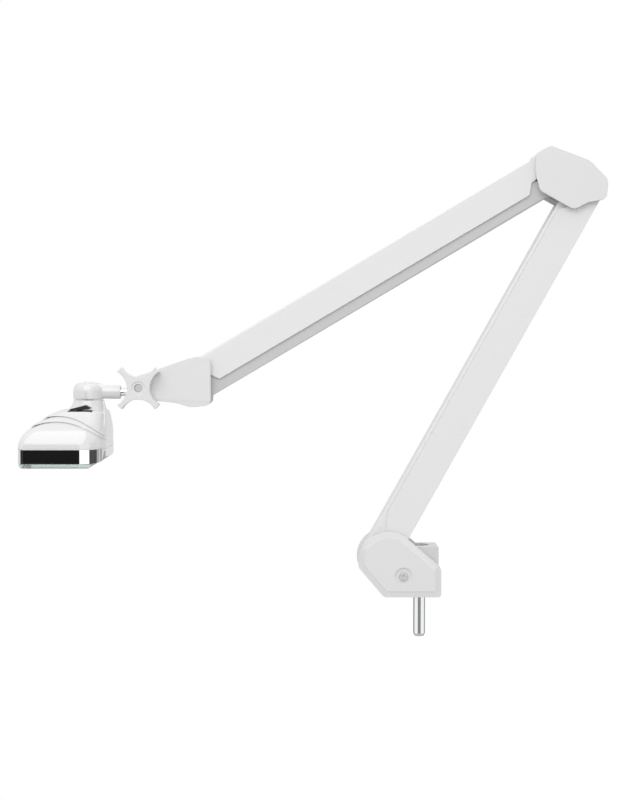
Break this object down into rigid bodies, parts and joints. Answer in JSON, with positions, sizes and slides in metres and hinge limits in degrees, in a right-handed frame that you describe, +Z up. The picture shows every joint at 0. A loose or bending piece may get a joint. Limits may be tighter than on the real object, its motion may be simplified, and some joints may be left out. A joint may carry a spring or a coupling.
{
  "type": "dental operating light",
  "caption": "Sprung two-section parallelogram arm light with a box-like glass-faced head, a star clamp knob at the wrist and a turned spigot at the base.",
  "frame": {"origin": "spigot axis at the underside of the base", "axes": "+Z up along the spigot, X along the arms with the head towards -X, Y across the arms"},
  "size_m": [0.585, 0.1, 0.4946],
  "materials": {
    "chrome": "polished chrome plate",
    "steel": "bright turned steel",
    "spring_clip": "dark phosphated spring steel",
    "frame_metal": "light grey powder coat",
    "bronze": "oiled sintered bronze",
    "white_nylon": "natural white nylon",
    "arm_white": "fine white powder coat",
    "link_grey": "light grey powder coat",
    "cover_white": "satin moulded plastic",
    "gloss_white": "gloss white moulding",
    "black_rubber": "matt black",
    "dark_mirror": "dark polished trim",
    "pale_glass": "clear glass with a green edge",
    "tray_white": "white reflector tray",
    "board_green": "solder mask",
    "led_yellow": "phosphor lens",
    "aluminium": "extruded, bead blasted",
    "black_plastic": "black moulded plastic"
  },
  "bodies": {
    "spigot": {"spigot_pin": "chrome", "spigot_circlip": "spring_clip"},
    "base": {"base_bracket": "frame_metal", "base_block": "frame_metal", "base_bush": "bronze", "base_pins": "steel", "base_cover_front": "cover_white", "base_cover_back": "cover_white", "base_cover_screws": "steel", "cable_inlet": "black_rubber"},
    "lower_arm": {"lower_channel": "arm_white", "lower_bushes": "white_nylon", "lower_springs": "steel", "lower_spring_rod": "steel", "lower_lead": "black_rubber"},
    "lower_link": {"lower_link": "arm_white", "lower_link_bushes": "white_nylon"},
    "elbow": {"elbow_plates": "frame_metal", "elbow_spacers": "steel", "elbow_pins": "steel", "elbow_shroud": "cover_white", "elbow_cover_front": "cover_white", "elbow_cover_back": "cover_white", "elbow_screws": "steel"},
    "forearm": {"forearm_channel": "arm_white", "forearm_bushes": "white_nylon", "forearm_springs": "steel", "forearm_spring_rod": "steel", "forearm_lead": "black_rubber"},
    "forearm_link": {"forearm_link": "link_grey", "forearm_link_bushes": "white_nylon"},
    "wrist": {"wrist_plates": "frame_metal", "wrist_clevis": "steel", "wrist_pins": "steel", "wrist_washers": "bronze", "wrist_nut": "steel", "wrist_shroud": "cover_white", "wrist_cover_front": "cover_white", "wrist_cover_back": "cover_white", "wrist_screws": "steel"},
    "knob": {"star_knob": "cover_white", "knob_bolt": "steel"},
    "stem": {"stem_eye": "steel", "stem_rod": "chrome"},
    "swivel": {"swivel_elbow": "gloss_white", "swivel_bush": "black_rubber", "swivel_plug": "gloss_white"},
    "head": {"head_shell": "gloss_white", "head_spindle": "steel", "spindle_nut": "steel", "trim_band": "dark_mirror", "glass_plate": "pale_glass", "reflector_tray": "tray_white", "led_board": "board_green", "leds": "led_yellow", "heat_sink": "aluminium", "driver_board": "board_green", "switch_housing": "black_plastic"},
    "rocker": {"switch_rocker": "black_plastic"}
  },
  "joints": [
    {"name": "base_swivel", "type": "hinge", "parent": "spigot", "child": "base", "pos_m": [0, 0, 0], "axis": [0, 0, 1], "range_deg": [-170, 170]},
    {"name": "lower_arm_tilt", "type": "hinge", "parent": "base", "child": "lower_arm", "pos_m": [-0.0335, 0, 0.036], "axis": [0, 1, 0], "range_deg": [-35, 16], "deforming": ["lower_springs"]},
    {"name": "lower_link_tilt", "type": "hinge", "parent": "base", "child": "lower_link", "pos_m": [-0.0535, 0, 0.036], "axis": [0, 1, 0], "range_deg": [-35, 16]},
    {"name": "elbow_level", "type": "hinge", "parent": "lower_arm", "child": "elbow", "pos_m": [0.17335, 0, 0.40612], "axis": [0, 1, 0], "range_deg": [-16, 35]},
    {"name": "forearm_tilt", "type": "hinge", "parent": "elbow", "child": "forearm", "pos_m": [0.12805, 0, 0.43992], "axis": [0, 1, 0], "range_deg": [-20, 50], "deforming": ["forearm_springs"]},
    {"name": "forearm_link_tilt", "type": "hinge", "parent": "elbow", "child": "forearm_link", "pos_m": [0.12805, 0, 0.41192], "axis": [0, 1, 0], "range_deg": [-20, 50]},
    {"name": "wrist_level", "type": "hinge", "parent": "forearm", "child": "wrist", "pos_m": [-0.22184, 0, 0.23299], "axis": [0, 1, 0], "range_deg": [-50, 20]},
    {"name": "knob_turn", "type": "hinge", "parent": "wrist", "child": "knob", "pos_m": [-0.28184, 0, 0.21119], "axis": [0, 1, 0], "range_deg": [-180, 180]},
    {"name": "wrist_tilt", "type": "hinge", "parent": "wrist", "child": "stem", "pos_m": [-0.28184, 0, 0.21119], "axis": [0, 1, 0], "range_deg": [-60, 45]},
    {"name": "head_roll", "type": "hinge", "parent": "stem", "child": "swivel", "pos_m": [-0.33584, 0, 0.20609], "axis": [1, 0, 0], "range_deg": [-60, 60]},
    {"name": "head_swivel", "type": "hinge", "parent": "swivel", "child": "head", "pos_m": [-0.33584, 0, 0.20609], "axis": [0, 0, 1], "range_deg": [-60, 60]},
    {"name": "switch_rock", "type": "hinge", "parent": "head", "child": "rocker", "pos_m": [-0.34034, -0.026, 0.18419], "axis": [0, 1, 0], "range_deg": [0, 8]}
  ],
  "couplings": [
    {"joint": "lower_link_tilt", "follows": "lower_arm_tilt", "ratio": 1},
    {"joint": "elbow_level", "follows": "lower_arm_tilt", "ratio": -1},
    {"joint": "forearm_link_tilt", "follows": "forearm_tilt", "ratio": 1},
    {"joint": "wrist_level", "follows": "forearm_tilt", "ratio": -1}
  ]
}
